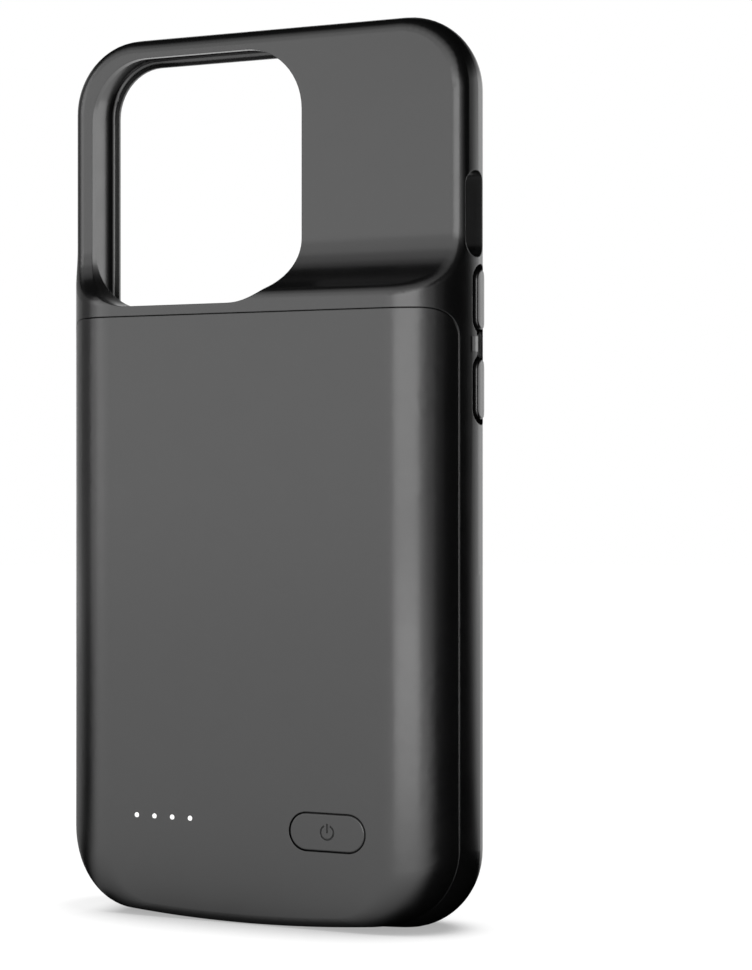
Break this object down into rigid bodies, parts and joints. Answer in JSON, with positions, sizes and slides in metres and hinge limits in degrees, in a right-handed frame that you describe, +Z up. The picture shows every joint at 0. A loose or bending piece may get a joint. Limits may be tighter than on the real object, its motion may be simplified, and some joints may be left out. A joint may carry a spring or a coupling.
{
  "type": "battery charging case",
  "caption": "Slim moulded phone case with a raised rechargeable battery back, camera window, side keys, power button and status lights; a plug in its pocket charges the phone.",
  "frame": {"origin": "middle of the footprint, on the plane on which the case stands", "axes": "+Z up along the case, +Y out of the open screen side, -Y out of the battery back, +X towards the volume keys and the mute opening"},
  "size_m": [0.0788, 0.0172, 0.155],
  "materials": {
    "frame_plastic": "satin charcoal, fine moulded grain",
    "cover_plastic": "satin charcoal, fine moulded grain",
    "button_plastic": "satin charcoal",
    "key_plastic": "satin charcoal",
    "clear_plastic": "milky clear",
    "cell_foil": "soft pouch foil",
    "foam": "open foam",
    "tape": "double-sided tape",
    "board": "green solder mask",
    "tinned_metal": "tinned strip",
    "wire_skin": "soft wire sleeve",
    "screw_steel": "zinc plated",
    "switch_metal": "stamped can",
    "light_chip": "white chip",
    "ferrite": "pressed ferrite",
    "chip_plastic": "moulded chip body",
    "capacitor": "fired ceramic",
    "port_steel": "drawn steel",
    "tongue_plastic": "black insulator",
    "plug_plastic": "black insulator",
    "gold": "gold plated",
    "flex_film": "amber film"
  },
  "bodies": {
    "case": {"case_frame": "frame_plastic", "battery_cover": "cover_plastic", "light_guide": "clear_plastic", "battery_cell": "cell_foil", "cell_foam": "foam", "cell_tape": "tape", "cell_board": "board", "cell_tabs": "tinned_metal", "lead_wires": "wire_skin", "control_board": "board", "board_screws": "screw_steel", "power_switch": "switch_metal", "status_leds": "light_chip", "power_inductor": "ferrite", "charge_chip": "chip_plastic", "filter_capacitors": "capacitor", "charge_port": "port_steel", "port_tongue": "tongue_plastic", "plug_base": "plug_plastic", "phone_plug": "port_steel", "plug_contacts": "gold", "plug_flex": "flex_film"},
    "button": {"power_button": "button_plastic"},
    "up_key": {"volume_up_key": "key_plastic"},
    "down_key": {"volume_down_key": "key_plastic"},
    "right_key": {"side_key": "key_plastic"}
  },
  "joints": [
    {"name": "power_press", "type": "slide", "parent": "case", "child": "button", "axis": [0, 1, 0], "range_m": [0, 0.00035], "stiffness_N_per_m": 1500, "springref_m": -0.0003},
    {"name": "volume_up_press", "type": "slide", "parent": "case", "child": "up_key", "axis": [-1, 0, 0], "range_m": [0, 0.0004], "stiffness_N_per_m": 1500, "springref_m": -0.0003},
    {"name": "volume_down_press", "type": "slide", "parent": "case", "child": "down_key", "axis": [-1, 0, 0], "range_m": [0, 0.0004], "stiffness_N_per_m": 1500, "springref_m": -0.0003},
    {"name": "side_press", "type": "slide", "parent": "case", "child": "right_key", "axis": [1, 0, 0], "range_m": [0, 0.0004], "stiffness_N_per_m": 1500, "springref_m": -0.0003}
  ]
}
